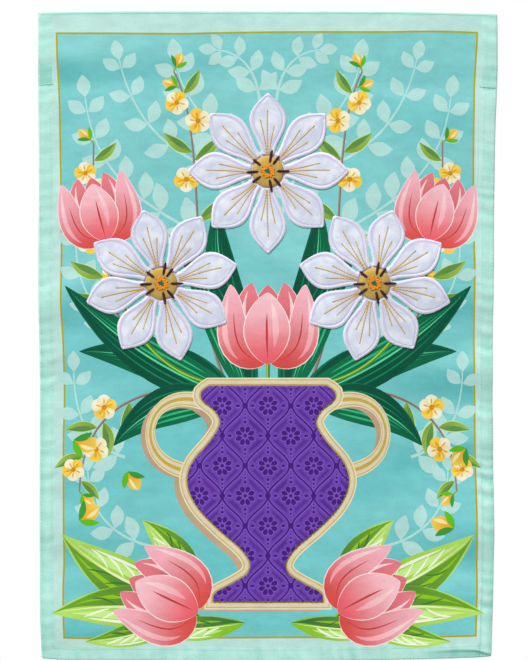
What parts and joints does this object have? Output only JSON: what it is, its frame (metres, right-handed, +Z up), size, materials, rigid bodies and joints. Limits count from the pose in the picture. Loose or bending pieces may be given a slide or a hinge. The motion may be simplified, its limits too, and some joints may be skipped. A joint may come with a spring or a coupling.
{
  "type": "applique garden flag",
  "caption": "Hanging printed cloth garden flag with turned hems, a rod sleeve behind, and applique urn and blossoms on its face.",
  "frame": {"origin": "middle of the top edge, in the plane in which the cloth hangs", "axes": "+X along the top edge, to the right as the face is seen; +Z up; -Y out of the face"},
  "size_m": [0.3218, 0.0174, 0.4551],
  "materials": {
    "panel_cloth": "printed polyester, soft satin",
    "sleeve_cloth": "plain dyed polyester, soft satin",
    "brocade": "embossed satin",
    "white_satin": "satin with stitched edges",
    "embroidery": "satin stitch and knots"
  },
  "bodies": {
    "root": {"front_panel": "panel_cloth", "rod_sleeve": "sleeve_cloth", "urn": "brocade", "blossom_upper_petal_01": "white_satin", "blossom_upper_petal_02": "white_satin", "blossom_upper_petal_03": "white_satin", "blossom_upper_petal_04": "white_satin", "blossom_upper_petal_05": "white_satin", "blossom_upper_petal_06": "white_satin", "blossom_upper_petal_07": "white_satin", "blossom_upper_petal_08": "white_satin", "blossom_left_petal_01": "white_satin", "blossom_left_petal_02": "white_satin", "blossom_left_petal_03": "white_satin", "blossom_left_petal_04": "white_satin", "blossom_left_petal_05": "white_satin", "blossom_left_petal_06": "white_satin", "blossom_left_petal_07": "white_satin", "blossom_left_petal_08": "white_satin", "blossom_right_petal_01": "white_satin", "blossom_right_petal_02": "white_satin", "blossom_right_petal_03": "white_satin", "blossom_right_petal_04": "white_satin", "blossom_right_petal_05": "white_satin", "blossom_right_petal_06": "white_satin", "blossom_right_petal_07": "white_satin", "blossom_right_petal_08": "white_satin", "blossom_upper_centre": "embroidery", "blossom_left_centre": "embroidery", "blossom_right_centre": "embroidery"}
  },
  "joints": []
}
